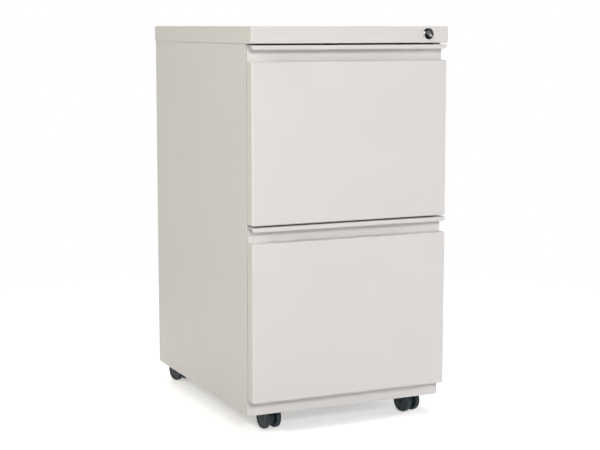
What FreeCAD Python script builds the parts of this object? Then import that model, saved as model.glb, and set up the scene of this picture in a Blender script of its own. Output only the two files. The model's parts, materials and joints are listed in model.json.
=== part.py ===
import FreeCAD, Part

import math
import os

import Sketcher

# Two drawer pedestal file cabinet on four twin wheel casters, in millimetres.
# The frame stands on the floor: +Z up, the drawers open towards -Y, and the origin
# is under the middle of the cabinet. Heights are read from the floor, and depths
# are counted back from the plane of the drawer faces.

doc = FreeCAD.newDocument("pedestal")

# Driving dimensions

SIZES = {
    # cabinet
    "cabinet_width": 380,
    "cabinet_depth": 490,
    "cabinet_height": 705,
    "ground_clearance": 32,
    "sheet": 1,
    "sheet_bend": 2,
    "weld_flange": 14,
    # top cover
    "cover_skirt": 29.3,
    "cover_overhang": 1.4,
    "cover_return": 18,
    "cover_bend": 1.5,
    # case
    "case_setback": 25,
    "side_return": 15,
    "base_wall_height": 34,
    "base_return": 14,
    "post_depth": 12,
    "post_width": 34,
    "rear_post_inset": 14,
    "rail_setback": 29,
    "rail_height": 23,
    "rail_foot": 20,
    "bumper_diameter": 9,
    "bumper_play": 0.3,
    "bumper_edge": 30,
    # counterweight
    "weight_side_gap": 26,
    "weight_length": 130,
    "weight_height": 15,
    "weight_inset": 18,
    # drawer fronts
    "front_inset": 1.8,
    "front_gap": 3,
    "front_depth": 22,
    "base_reveal": 26.5,
    "face_bend": 3,
    "front_flange": 22,
    "pull_height": 27.5,
    "pull_tail": 9,
    "lip_height": 7.3,
    "lip_thickness": 2.2,
    "lip_corner": 5.5,
    "lip_round": 0.9,
    "liner_margin": 16,
    "liner_foot": 8,
    # trays
    "tray_rise": 12,
    "tray_height": 240,
    "tray_rear_gap": 20,
    "tray_flange": 13,
    "tray_back_drop": 12,
    "file_rail_wall": 1,
    "file_rail_grip": 8,
    # runners
    "runner_rise": 95,
    "runner_height": 45,
    "runner_thickness": 12.7,
    "runner_setback": 3,
    "runner_rear_gap": 9.6,
    "runner_wall": 1.2,
    "runner_flange": 9.7,
    "runner_lip": 0.8,
    "middle_offset": 3,
    "middle_flange": 8.2,
    "inner_flange": 6.4,
    "ball_diameter": 4,
    "ball_play": 0.1,
    "ball_edge": 15,
    "balls_per_row": 6,
    "cage_length": 210,
    "cage_setback": 120,
    "cage_wall": 0.8,
    "cage_strip": 1,
    "outer_cage_offset": 1.7,
    "outer_ball_offset": 5.5,
    "inner_cage_offset": 4.7,
    "inner_ball_offset": 8.5,
    "cage_margin": 0.4,
    # screws
    "screw_diameter": 4,
    "screw_head": 7,
    "screw_head_height": 1.2,
    "screw_play": 0.2,
    "screw_tip": 1.2,
    "runner_screw_inset": 5,
    "tray_screw_inset": 37.5,
    "front_screw_inset": 36,
    # lock
    "lock_inset": 41,
    "lock_proud": 3,
    "bezel_diameter": 22.5,
    "bezel_edge": 1,
    "barrel_diameter": 19,
    "barrel_length": 22,
    "plug_diameter": 15,
    "plug_sink": 0.6,
    "lock_play": 0.05,
    "keyway_length": 9,
    "keyway_width": 2,
    "keyway_depth": 8,
    "keyway_turn": 45,
    "nut_width": 22,
    "nut_thickness": 4,
    "stud_diameter": 8,
    "cam_gap": 3.5,
    "cam_thickness": 2,
    "cam_radius": 9,
    "cam_wall": 2.2,
    "cam_angle": 45,
    "pin_diameter": 4,
    "pin_length": 4.4,
    "slot_play": 0.45,
    # lock bar
    "bar_thickness": 2.5,
    "bar_width": 16,
    "bar_offset": 2.4,
    "bar_setback": 9,
    "bar_foot": 18,
    "tab_margin": 2.6,
    "tab_setback": 4,
    "hook_rise": 150,
    "hook_height": 12,
    "hook_reach": 10.1,
    "hook_setback": 2,
    "window_margin": 1.5,
    "strike_play": 3.5,
    "strike_drop": 2,
    "strike_reach": 9,
    "strike_length": 18,
    "strike_sheet": 1.5,
    "guide_rise": 60,
    "guide_height": 16,
    "guide_wall": 2,
    "guide_play": 0.3,
    # casters
    "caster_height": 50,
    "wheel_diameter": 40,
    "wheel_width": 9.5,
    "wheel_gap": 11.5,
    "wheel_rim": 4,
    "wheel_dish": 5,
    "wheel_hub": 12,
    "wheel_edge": 1.2,
    "wheel_groove": 1,
    "wheel_play": 0.3,
    "axle_diameter": 5,
    "axle_head": 8,
    "axle_head_height": 1,
    "bearing_play": 0.05,
    "caster_trail": 8,
    "hood_gap": 0.6,
    "hood_wall": 1.4,
    "hood_cut": 145,
    "neck_radius": 13,
    "kingpin_diameter": 7,
    "kingpin_collar": 12,
    "collar_height": 1.2,
    "kingpin_depth": 24,
    "bearing_floor": 2,
    "plate_side": 38,
    "plate_thickness": 2,
    "plate_hole_pitch": 28,
    "front_caster_inset": 52,
    "rear_caster_inset": 34,
    "front_caster_setback": 58,
    "rear_caster_rear_gap": 50,
    "front_left_heading": 5,
    "front_right_heading": 14,
    "rear_left_heading": 195,
    "rear_right_heading": 188,
}

sizes = doc.addObject("Spreadsheet::Sheet", "Sizes")
for row, (word, number) in enumerate(SIZES.items(), start=1):
    sizes.set(f"A{row}", word)
    sizes.set(f"B{row}", str(number))
    sizes.setAlias(f"B{row}", word)
doc.recompute()


class Term:
    """A length that knows its number and the expression it comes from."""

    def __init__(self, number, text):
        self.number = float(number)
        self.text = text

    def __add__(self, other):
        other = term(other)
        return Term(self.number + other.number, f"({self.text} + {other.text})")

    def __sub__(self, other):
        other = term(other)
        return Term(self.number - other.number, f"({self.text} - {other.text})")

    def __mul__(self, other):
        other = term(other)
        return Term(self.number * other.number, f"({self.text} * {other.text})")

    def __truediv__(self, other):
        other = term(other)
        return Term(self.number / other.number, f"({self.text} / {other.text})")

    def __neg__(self):
        return Term(-self.number, f"(0 - {self.text})")

    def __radd__(self, other):
        return term(other) + self

    def __rsub__(self, other):
        return term(other) - self

    def __float__(self):
        return self.number


def term(value):
    if isinstance(value, Term):
        return value
    return Term(value, repr(float(value)))


def size(word):
    """A driving dimension, as its cell holds it."""
    return Term(getattr(sizes, word), f"Sizes.{word}")


places = doc.addObject("Spreadsheet::Sheet", "Places")
place_rows = iter(range(1, 1000))


def sine(angle):
    angle = term(angle)
    return Term(math.sin(math.radians(angle.number)), f"sin({angle.text} * 1deg)")


def cosine(angle):
    angle = term(angle)
    return Term(math.cos(math.radians(angle.number)), f"cos({angle.text} * 1deg)")


def place(word, value):
    """Keeps a worked out position in its own cell, so that expressions stay short."""
    value = term(value)
    row = next(place_rows)
    places.set(f"A{row}", word)
    places.set(f"B{row}", "=" + value.text)
    places.setAlias(f"B{row}", word)
    return Term(value.number, f"Places.{word}")


sheet = size("sheet")
sheet_bend = size("sheet_bend")
weld_flange = size("weld_flange")
screw_radius = place("screw_radius", size("screw_diameter") / 2)
screw_hole = place("screw_hole", screw_radius + size("screw_play") / 2)
screw_head_radius = place("screw_head_radius", size("screw_head") / 2)
screw_head_height = size("screw_head_height")

# Planes of the cabinet

top = size("cabinet_height")
cover_half = place("cover_half", size("cabinet_width") / 2)
face = place("face", (size("lock_proud") - size("cabinet_depth")) / 2)
cover_back = place("cover_back", face + size("cabinet_depth"))
cover_foot = place("cover_foot", top - size("cover_skirt"))
cover_under = place("cover_under", top - sheet)
case_half = place("case_half", cover_half - size("cover_overhang"))
case_inner = place("case_inner", case_half - sheet)
case_front = place("case_front", face + size("case_setback"))
case_back = place("case_back", cover_back - size("cover_overhang"))
case_foot = size("ground_clearance")
base_floor = size("caster_height")
base_floor_top = place("base_floor_top", base_floor + sheet)
base_wall_top = place("base_wall_top", case_foot + size("base_wall_height"))
post_face = place("post_face", case_inner - size("post_depth"))
post_front = place("post_front", case_front + sheet)
post_back = place("post_back", post_front + size("post_width"))
post_top = place("post_top", cover_foot - sheet)

# Planes of the drawers

front_half = place("front_half", cover_half - size("front_inset"))
lower_foot = place("lower_foot", case_foot + size("base_reveal"))
front_pitch = place("front_pitch", (cover_foot - lower_foot) / 2)
front_height = place("front_height", front_pitch - size("front_gap"))
upper_foot = place("upper_foot", lower_foot + front_pitch)
front_back = place("front_back", face + size("front_depth"))
liner_back = place("liner_back", front_back + sheet)
runner_front = place("runner_front", case_front + size("runner_setback"))
tray_half = place("tray_half", post_face - size("runner_thickness"))
tray_inner = place("tray_inner", tray_half - sheet)
tray_back = place("tray_back", case_back - sheet - size("tray_rear_gap"))

LEVELS = {"lower": lower_foot, "upper": upper_foot}

# Building blocks

nodes = []


def node(thing, label):
    """Gives a finished sub-part its name."""
    thing.Label = label
    nodes.append(thing)
    return thing


def block(name, across, along, up):
    """A box between three pairs of planes."""
    box = doc.addObject("Part::Box", name)
    for side, axis, (low, high) in zip(("Length", "Width", "Height"), "xyz", (across, along, up)):
        box.setExpression(side, (term(high) - low).text)
        box.setExpression(f"Placement.Base.{axis}", term(low).text)
    return box


TURNED = {
    "x": FreeCAD.Rotation(FreeCAD.Vector(0, 1, 0), 90),
    "y": FreeCAD.Rotation(FreeCAD.Vector(1, 0, 0), -90),
    "z": FreeCAD.Rotation(),
}


def rod(name, axis, start, radius, length):
    """A cylinder that runs from its start along one axis."""
    cylinder = doc.addObject("Part::Cylinder", name)
    cylinder.Placement.Rotation = TURNED[axis]
    cylinder.setExpression("Radius", term(radius).text)
    cylinder.setExpression("Height", term(length).text)
    for word, value in zip("xyz", start):
        cylinder.setExpression(f"Placement.Base.{word}", term(value).text)
    return cylinder


def fuse(name, things):
    joined = doc.addObject("Part::MultiFuse", name)
    joined.Shapes = things
    joined.Refine = True
    return joined


def group(name, things):
    """Separate solids that share one node."""
    bundle = doc.addObject("Part::Compound", name)
    bundle.Links = things
    return bundle


def cut(name, base, tools):
    remaining = doc.addObject("Part::Cut", name)
    remaining.Base = base
    remaining.Tool = tools[0] if len(tools) == 1 else group(name + "Tools", tools)
    return remaining


def mirror(name, source):
    """The same piece on the other side of the cabinet."""
    twin = doc.addObject("Part::Mirroring", name)
    twin.Source = source
    twin.Normal = FreeCAD.Vector(1, 0, 0)
    return twin


def pair(name, *sources):
    return group(name, [*sources, *(mirror(f"{name}{i}", source) for i, source in enumerate(sources))])


def rounded(name, box, radii):
    """Rounds a box. Each key of radii is the pair of sides that meet at an edge, such as x- y-."""
    doc.recompute()
    bounds = box.Shape.BoundBox
    limits = {
        "x-": ("x", bounds.XMin),
        "x+": ("x", bounds.XMax),
        "y-": ("y", bounds.YMin),
        "y+": ("y", bounds.YMax),
        "z-": ("z", bounds.ZMin),
        "z+": ("z", bounds.ZMax),
    }
    chosen = []
    for sides, radius in radii.items():
        for number, edge in enumerate(box.Shape.Edges, start=1):
            middle = edge.CenterOfMass
            where = [limits[side] for side in sides.split()]
            if all(abs(getattr(middle, axis) - limit) < 0.001 for axis, limit in where):
                chosen.append((number, float(radius), float(radius)))
    fillet = doc.addObject("Part::Fillet", name)
    fillet.Base = box
    fillet.Edges = chosen
    return fillet


PLANES = {"z": "XY_Plane", "y": "XZ_Plane", "x": "YZ_Plane"}


class Body:
    """A body that grows by pads, pockets and turned profiles on its own origin planes.

    A profile's corners are given along the two axes that stay: X and Y on a plane
    across z, X and Z across y, and Y and Z across x.
    """

    def __init__(self, name):
        self.name = name
        self.body = doc.addObject("PartDesign::Body", name)
        self.count = 0

    def new(self, kind):
        self.count += 1
        return self.body.newObject(kind, f"{self.name}{kind.split('::')[1]}{self.count}")

    def sketch(self, axis, level):
        drawing = self.new("Sketcher::SketchObject")
        roles = {feature.Role: feature for feature in self.body.Origin.OriginFeatures}
        drawing.AttachmentSupport = [(roles[PLANES[axis]], "")]
        drawing.MapMode = "FlatFace"
        level = -term(level) if axis == "y" else term(level)
        drawing.setExpression("AttachmentOffset.Base.z", level.text)
        return drawing

    def pin(self, drawing, shape, point, place_of):
        """Ties one point of a sketch to its two coordinates."""
        for kind, value in zip(("DistanceX", "DistanceY"), place_of):
            value = term(value)
            number = drawing.addConstraint(Sketcher.Constraint(kind, -1, 1, shape, point, value.number))
            drawing.setExpression(f"Constraints[{number}]", value.text)

    def polygon(self, axis, level, corners):
        drawing = self.sketch(axis, level)
        spots = [FreeCAD.Vector(float(u), float(v), 0) for u, v in corners]
        for here, there in zip(spots, spots[1:] + spots[:1]):
            drawing.addGeometry(Part.LineSegment(here, there), False)
        for line in range(len(spots)):
            drawing.addConstraint(Sketcher.Constraint("Coincident", line, 2, (line + 1) % len(spots), 1))
        for line, corner in enumerate(corners):
            self.pin(drawing, line, 1, corner)
        return drawing

    def circles(self, axis, level, centres, radius):
        drawing = self.sketch(axis, level)
        radius = term(radius)
        for u, v in centres:
            spot = FreeCAD.Vector(float(u), float(v), 0)
            circle = drawing.addGeometry(Part.Circle(spot, FreeCAD.Vector(0, 0, 1), radius.number), False)
            self.pin(drawing, circle, 3, (u, v))
            number = drawing.addConstraint(Sketcher.Constraint("Radius", circle, radius.number))
            drawing.setExpression(f"Constraints[{number}]", radius.text)
        return drawing

    def pad(self, drawing, axis, length):
        feature = self.new("PartDesign::Pad")
        feature.Profile = drawing
        feature.setExpression("Length", length.text)
        feature.Reversed = axis == "y"
        return feature

    def pocket(self, drawing, length):
        feature = self.new("PartDesign::Pocket")
        feature.Profile = drawing
        feature.setExpression("Length", length.text)
        return feature

    def add(self, axis, low, high, corners):
        """Material between two planes across an axis."""
        self.pad(self.polygon(axis, low, corners), axis, term(high) - low)

    def add_round(self, axis, low, high, centres, radius):
        self.pad(self.circles(axis, low, centres, radius), axis, term(high) - low)

    def take(self, axis, low, high, corners):
        """A cut between two planes across an axis. It starts at the far plane along the cut."""
        start = low if axis == "y" else high
        self.pocket(self.polygon(axis, start, corners), term(high) - low)

    def take_round(self, axis, low, high, centres, radius):
        start = low if axis == "y" else high
        self.pocket(self.circles(axis, start, centres, radius), term(high) - low)

    def turn(self, axis, line, corners):
        """A profile spun about one of its sketch's own axes."""
        feature = self.new("PartDesign::Revolution")
        drawing = self.polygon(axis, 0, corners)
        feature.Profile = drawing
        feature.ReferenceAxis = (drawing, [line])
        feature.Angle = 360
        return feature

    def soften(self, radius, chosen):
        """Rounds the edges of the body so far that the test chooses."""
        doc.recompute()
        tip = self.body.Tip
        names = [f"Edge{i}" for i, edge in enumerate(tip.Shape.Edges, start=1) if chosen(edge)]
        feature = self.new("PartDesign::Fillet")
        feature.Base = (tip, names)
        feature.setExpression("Radius", term(radius).text)

    def move(self, across=0, along=0, up=0):
        for axis, value in zip("xyz", (across, along, up)):
            self.body.setExpression(f"Placement.Base.{axis}", term(value).text)

    def turn_body(self, axis, angle):
        self.body.Placement.Rotation = FreeCAD.Rotation(axis, float(angle))
        self.body.setExpression("Placement.Rotation.Angle", term(angle).text)


def rectangle(across, up):
    """The corners of a rectangle between two pairs of planes."""
    (left, right), (low, high) = across, up
    return [(left, low), (right, low), (right, high), (left, high)]


def runs_along(edge, axis, **spots):
    """True if an edge is straight along an axis and lies at the given coordinates."""
    ends = [vertex.Point for vertex in edge.Vertexes]
    if len(ends) < 2:
        return False
    across = [other for other in "xyz" if other != axis]
    straight = all(abs(getattr(ends[0], other) - getattr(ends[1], other)) < 0.001 for other in across)
    middle = (ends[0] + ends[1]) / 2
    there = all(abs(getattr(middle, word) - float(value)) < 0.01 for word, value in spots.items())
    return straight and there


# Top cover: a shallow box with a folded skirt, open below


def top_cover():
    outer = block("CoverOuter", (-cover_half, cover_half), (face, cover_back), (cover_foot, top))
    inner = block(
        "CoverInner",
        (-cover_half + sheet, cover_half - sheet),
        (face + sheet, cover_back - sheet),
        (cover_foot - sheet, cover_under),
    )
    edges = ("x- y-", "x+ y-", "x- y+", "x+ y+", "x- z+", "x+ z+", "y- z+", "y+ z+")
    bent = rounded("CoverRound", outer, dict.fromkeys(edges, size("cover_bend")))
    shell = cut("CoverShell", bent, [inner])
    front_return = block(
        "CoverReturn",
        (-cover_half + sheet / 2, cover_half - sheet / 2),
        (face + sheet / 2, face + sheet + size("cover_return")),
        (cover_foot, cover_foot + sheet),
    )
    whole = fuse("CoverWhole", [shell, front_return])
    hole_radius = barrel_radius + size("lock_play")
    hole = rod("CoverLockHole", "y", (lock_x, face - sheet, lock_z), hole_radius, sheet * 3)
    return cut("TopCover", whole, [hole])


# Side panel, right hand: wall, front return, top return, and a step for the base's front wall


def side_panel():
    panel = Body("RightSide")
    panel.add(
        "z",
        case_foot,
        cover_under,
        [
            (case_half, case_front),
            (case_half, case_back),
            (case_inner, case_back),
            (case_inner, case_front + sheet),
            (case_half - size("side_return"), case_front + sheet),
            (case_half - size("side_return"), case_front),
        ],
    )
    panel.add(
        "y",
        case_front + sheet,
        case_back - weld_flange,
        rectangle((case_inner - weld_flange, case_inner), (cover_under - sheet, cover_under)),
    )
    panel.take(
        "z",
        case_foot,
        base_wall_top,
        rectangle((case_half - size("side_return"), case_half), (case_front, case_front + sheet)),
    )
    panel.soften(sheet_bend, lambda edge: runs_along(edge, "z", x=case_half, y=case_front))
    return panel.body


def back_panel():
    """Back sheet with flanges turned forwards against the side panels."""
    back_top = cover_under - sheet
    panel = Body("Back")
    wall = rectangle((-case_inner, case_inner), (case_foot, back_top))
    panel.add("y", case_back - sheet, case_back, wall)
    for left, right in ((-case_inner, -case_inner + sheet), (case_inner - sheet, case_inner)):
        flange = rectangle((left, right), (case_back - weld_flange, case_back))
        panel.add("z", base_floor + weld_flange * 2, back_top - weld_flange, flange)
    return panel.body


def base_pan():
    """Floor of the case with its front wall, upturned flanges and the casters' screw holes."""
    back = case_back - sheet
    pan = Body("Base")
    pan.add(
        "x",
        -case_inner,
        case_inner,
        [
            (case_front, case_foot),
            (case_front + sheet, case_foot),
            (case_front + sheet, base_floor),
            (back, base_floor),
            (back, base_floor + weld_flange),
            (back - sheet, base_floor + weld_flange),
            (back - sheet, base_floor_top),
            (case_front + sheet, base_floor_top),
            (case_front + sheet, base_wall_top - sheet),
            (case_front + sheet + size("base_return"), base_wall_top - sheet),
            (case_front + sheet + size("base_return"), base_wall_top),
            (case_front, base_wall_top),
        ],
    )
    for left, right in ((-case_half, -case_inner), (case_inner, case_half)):
        wall = rectangle((left, right), (case_front, case_front + sheet))
        pan.add("z", case_foot, base_wall_top, wall)
    side_start = post_back + weld_flange
    side_end = rear_post_front - weld_flange
    ends = ((-case_inner, -post_face + sheet), (post_face - sheet, case_inner))
    for left, right in ends:
        corner = rectangle((left, right), (case_front + sheet, case_front + sheet * 2 + size("base_return")))
        pan.take("z", base_wall_top - sheet * 2, base_wall_top + sheet, corner)
    for left, right in ((-case_inner, -case_inner + sheet), (case_inner - sheet, case_inner)):
        flange = rectangle((left, right), (side_start, side_end))
        pan.add("z", base_floor, base_floor + weld_flange, flange)
    pan.soften(sheet_bend / 2, lambda edge: runs_along(edge, "x", y=case_front, z=base_wall_top))
    for caster in CASTERS.values():
        pan.take_round("z", base_floor - sheet, base_floor_top + sheet, plate_holes(caster), screw_hole)
    return pan.body


# Posts that carry the runners: channels open towards the side panels


def post(name, front, screw_line, windows):
    channel = Body(name)
    back = front + size("post_width")
    channel.add(
        "z",
        base_floor_top,
        post_top,
        [
            (post_face, front),
            (case_inner, front),
            (case_inner, front + sheet),
            (post_face + sheet, front + sheet),
            (post_face + sheet, back - sheet),
            (case_inner, back - sheet),
            (case_inner, back),
            (post_face, back),
        ],
    )
    for foot in LEVELS.values():
        if windows:
            opening = rectangle(
                (hook_front - size("window_margin"), hook_back + size("window_margin")),
                (
                    foot + size("hook_rise") - lock_travel - size("window_margin"),
                    foot + size("hook_rise") + size("hook_height") + size("window_margin"),
                ),
            )
            channel.take("x", post_face - sheet, post_face + sheet * 2, opening)
        centre = (screw_line, foot + size("runner_rise"))
        channel.take_round("x", post_face - sheet, post_face + sheet * 2, [centre], screw_hole)
    return channel.body


def top_front_rail():
    """Cross rail under the front of the cover, between the side panels."""
    rail = Body("TopRail")
    front = post_front + size("rail_setback")
    rail_top = cover_under - sheet
    rail.add(
        "x",
        -case_inner,
        case_inner,
        [
            (front, rail_top - size("rail_height")),
            (front + size("rail_foot"), rail_top - size("rail_height")),
            (front + size("rail_foot"), rail_top - size("rail_height") + sheet),
            (front + sheet, rail_top - size("rail_height") + sheet),
            (front + sheet, rail_top - sheet),
            (front + size("rail_foot"), rail_top - sheet),
            (front + size("rail_foot"), rail_top),
            (front, rail_top),
        ],
    )
    return rail.body


def drawer_bumpers():
    """Rubber buttons on the case's front returns, just short of the closed fronts."""
    thickness = size("case_setback") - size("front_depth") - size("bumper_play")
    start = case_front - thickness
    across = case_half - size("side_return") / 2
    buttons = []
    for level, foot in LEVELS.items():
        for end, rise in (("Low", size("bumper_edge")), ("High", front_height - size("bumper_edge") * 2)):
            spot = (across, start, foot + rise)
            buttons.append(rod(f"Bumper{level}{end}", "y", spot, size("bumper_diameter") / 2, thickness))
    return pair("Bumpers", *buttons)


def counterweight():
    """Steel bar on the floor of the case, between the rear casters."""
    back = case_back - sheet * 2 - size("weight_inset")
    half = rear_caster_x - size("weight_side_gap")
    bar = block(
        "Weight",
        (-half, half),
        (back - size("weight_length"), back),
        (base_floor_top, base_floor_top + size("weight_height")),
    )
    return rounded("Counterweight", bar, dict.fromkeys(("x- y-", "x+ y-", "x- y+", "x+ y+"), sheet_bend))


# Runners: case member, ball cage, middle member, ball cage, drawer member. Offsets are
# counted from the post's face towards the tray.

runner_wall = size("runner_wall")
runner_back = place("runner_back", case_back - sheet - size("runner_rear_gap"))
race_gap = place("race_gap", size("ball_diameter") + size("ball_play"))
outer_half = place("outer_half", size("runner_height") / 2)
outer_race = place("outer_race", outer_half - runner_wall)
middle_half = place("middle_half", outer_race - race_gap)
middle_race = place("middle_race", middle_half - runner_wall)
inner_half = place("inner_half", middle_race - race_gap)
cage_front = place("cage_front", runner_front + size("cage_setback"))
cage_back = place("cage_back", cage_front + size("cage_length"))
front_screw = place("front_screw", runner_front + size("runner_screw_inset"))
rear_post_front = place(
    "rear_post_front", case_back - sheet * 2 - size("rear_post_inset") - size("post_width")
)
rear_screw = place("rear_screw", rear_post_front + size("post_width") / 2)


def channel_section(centre, web, back, mouth, half, lips=False):
    """Corners of a channel lying on its side, from the web's back to its mouth."""
    wall = runner_wall if float(web) > float(mouth) else -runner_wall
    upper = [(back, half)]
    if lips:
        lip = size("runner_lip")
        upper += [
            (mouth, half),
            (mouth, half - runner_wall - lip),
            (mouth + runner_wall, half - runner_wall - lip),
            (mouth + runner_wall, half - runner_wall),
        ]
    else:
        upper += [(mouth, half), (mouth, half - runner_wall)]
    upper.append((back - wall, half - runner_wall))
    corners = [(across, centre + up) for across, up in upper]
    corners += [(across, centre - up) for across, up in reversed(upper)]
    return corners


def case_runner(level, foot):
    centre = foot + size("runner_rise")
    runner = Body(f"CaseRunner{level}")
    mouth = post_face - size("runner_flange")
    section = channel_section(centre, post_face, post_face, mouth, outer_half, lips=True)
    runner.add("y", runner_front, runner_back, section)
    holes = [(front_screw, centre), (rear_screw, centre)]
    runner.take_round("x", post_face - runner_wall * 2, post_face + sheet, holes, screw_hole)
    return runner.body


def middle_runner(level, foot):
    centre = foot + size("runner_rise")
    back = post_face - size("middle_offset")
    runner = Body(f"MiddleRunner{level}")
    section = channel_section(centre, back, back, back - size("middle_flange"), middle_half)
    runner.add("y", runner_front, runner_back, section)
    return runner.body


def drawer_runner(level, foot):
    centre = foot + size("runner_rise")
    runner = Body(f"DrawerRunner{level}")
    section = channel_section(centre, tray_half, tray_half, tray_half + size("inner_flange"), inner_half)
    runner.add("y", runner_front, runner_back, section)
    holes = [(along, centre) for along in tray_screws]
    runner.take_round("x", tray_half - sheet, tray_half + runner_wall * 2, holes, screw_hole)
    return runner.body


def ball_cage(level, foot, kind, offset, reach, ball_offset, race):
    """A bent strip with a row of balls above and below, as separate solids."""
    centre = foot + size("runner_rise")
    name = f"{kind}Cage{level}"
    row = race - race_gap / 2
    half = row + size("cage_strip") / 2
    back = post_face - offset
    wall = size("cage_wall")
    strip = size("cage_strip")
    upper = [(back, half), (back - reach, half), (back - reach, half - strip), (back - wall, half - strip)]
    cage = Body(name)
    section = [(across, centre + up) for across, up in upper]
    section += [(across, centre - up) for across, up in reversed(upper)]
    cage.add("y", cage_front, cage_back, section)
    count = int(sizes.balls_per_row)
    pitch = (size("cage_length") - size("ball_edge") * 2) / (count - 1)
    stations = [cage_front + size("ball_edge") + pitch * k for k in range(count)]
    ball_x = post_face - ball_offset
    pocket_radius = size("ball_diameter") / 2 + size("ball_play")
    holes = [(ball_x, along) for along in stations]
    cage.take_round("z", centre - half - strip, centre + half + strip, holes, pocket_radius)
    balls = []
    for side, up in (("Top", centre + row), ("Bottom", centre - row)):
        for number, along in enumerate(stations):
            ball = doc.addObject("Part::Sphere", f"{name}{side}Ball{number}")
            ball.setExpression("Radius", (size("ball_diameter") / 2).text)
            for axis, value in zip("xyz", (ball_x, along, up)):
                ball.setExpression(f"Placement.Base.{axis}", term(value).text)
            balls.append(ball)
    return [cage.body, *balls]


def screw(name, axis, spot, direction, shank):
    """A low headed screw. Its spot is where the head meets the work."""
    head_start = dict(zip("xyz", spot))
    shank_start = dict(zip("xyz", spot))
    if direction > 0:
        head_start[axis] = head_start[axis] - screw_head_height
    else:
        shank_start[axis] = shank_start[axis] - shank
    head = rod(name + "Head", axis, list(head_start.values()), screw_head_radius, screw_head_height)
    stem = rod(name + "Stem", axis, list(shank_start.values()), screw_radius, shank)
    return fuse(name, [head, stem])


def runner_screws():
    shank = runner_wall + sheet + size("screw_tip")
    screws = []
    for level, foot in LEVELS.items():
        for end, along in (("Front", front_screw), ("Rear", rear_screw)):
            spot = (post_face - runner_wall, along, foot + size("runner_rise"))
            screws.append(screw(f"RunnerScrew{level}{end}", "x", spot, 1, shank))
    return pair("RunnerScrews", *screws)


# Drawer: front skin, pull, liner, tray, tray back, file rails, strike, runners and screws


tray_screws = [
    place("tray_screw_front", runner_front + size("tray_screw_inset")),
    place("tray_screw_middle", (runner_front + runner_back) / 2),
    place("tray_screw_back", runner_back - size("tray_screw_inset")),
]


def front_skin(level, foot):
    """Outer pan of the front: the face, its returns, the ledge under the pull and back flanges."""
    crest = foot + front_height - size("pull_height")
    name = f"Front{level}"
    outer = block(name + "Outer", (-front_half, front_half), (face, front_back), (foot, crest))
    inner = block(
        name + "Inner",
        (-front_half + sheet, front_half - sheet),
        (face + sheet, front_back + sheet),
        (foot + sheet, crest - sheet),
    )
    bend = size("face_bend")
    radii = {"x- y-": bend, "x+ y-": bend, "y- z+": bend, "y- z-": bend}
    inner_radii = {sides: radius - sheet for sides, radius in radii.items()}
    pan = cut(
        name + "Pan",
        rounded(name + "OuterRound", outer, radii),
        [rounded(name + "InnerRound", inner, inner_radii)],
    )
    flange_top = crest - sheet - size("pull_tail") - sheet
    flange = size("front_flange")
    parts = [pan]
    for side, left, right in (
        ("Left", -front_half + sheet / 2, -front_half + sheet + flange),
        ("Right", front_half - sheet - flange, front_half - sheet / 2),
    ):
        up = (foot + sheet / 2, flange_top)
        parts.append(block(name + side, (left, right), (front_back - sheet, front_back), up))
    parts.append(
        block(
            name + "Bottom",
            (-front_half + sheet / 2, front_half - sheet / 2),
            (front_back - sheet, front_back),
            (foot + sheet / 2, foot + sheet + flange),
        )
    )
    ledge_end = block(
        name + "LedgeEnd",
        (-cover_half, cover_half),
        (front_back - sheet, front_back + sheet),
        (crest - sheet * 3 / 2, crest + sheet),
    )
    return cut(name, fuse(name + "Whole", parts), [ledge_end])


def pull(level, foot):
    """Full width grip: web behind the ledge, shelf on top and a hemmed lip in the plane of the faces."""
    crest = foot + front_height
    ledge = crest - size("pull_height")
    grip = Body(f"Pull{level}")
    lip_back = face + size("lip_thickness")
    lip_foot = crest - size("lip_height")
    web = front_back - sheet
    grip.add(
        "x",
        -front_half,
        front_half,
        [
            (face, crest),
            (face, lip_foot),
            (lip_back, lip_foot),
            (lip_back, crest - sheet),
            (web, crest - sheet),
            (web, ledge - sheet - size("pull_tail")),
            (front_back, ledge - sheet - size("pull_tail")),
            (front_back, crest),
        ],
    )
    for left, right in ((-front_half, -front_half + sheet), (front_half - sheet, front_half)):
        tail_end = rectangle((left, right), (ledge - sheet - size("pull_tail"), ledge))
        grip.take("y", web - sheet, front_back + sheet, tail_end)
    grip.soften(size("lip_corner"), lambda edge: runs_along(edge, "y", z=lip_foot))
    grip.soften(size("lip_round"), lambda edge: runs_along(edge, "x", z=lip_foot))
    grip.soften(sheet_bend, lambda edge: runs_along(edge, "x", y=front_back, z=crest))
    grip.soften(sheet_bend - sheet, lambda edge: runs_along(edge, "x", y=web, z=crest - sheet))
    grip.soften(size("lip_round"), lambda edge: runs_along(edge, "x", y=face, z=crest))
    return grip.body


def front_liner(level, foot):
    """Inner sheet that closes the back of the front."""
    crest = foot + front_height
    half = front_half - size("liner_margin")
    sheet_body = Body(f"Liner{level}")
    sheet_body.add(
        "y",
        front_back,
        liner_back,
        rectangle((-half, half), (foot + size("liner_foot"), crest - size("liner_foot"))),
    )
    holes = [(across * side, up) for across, up in front_screws(foot) for side in (-1, 1)]
    sheet_body.take_round("y", front_back - sheet, liner_back + sheet, holes, screw_hole)
    return sheet_body.body


def front_screws(foot):
    """Where the tray's front flanges are screwed to the liner."""
    across = tray_inner - size("tray_flange") / 2
    floor = foot + size("tray_rise")
    rim = floor + size("tray_height")
    inset = size("front_screw_inset")
    return [(across, up) for up in (floor + inset, (floor + rim) / 2, rim - inset)]


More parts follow.
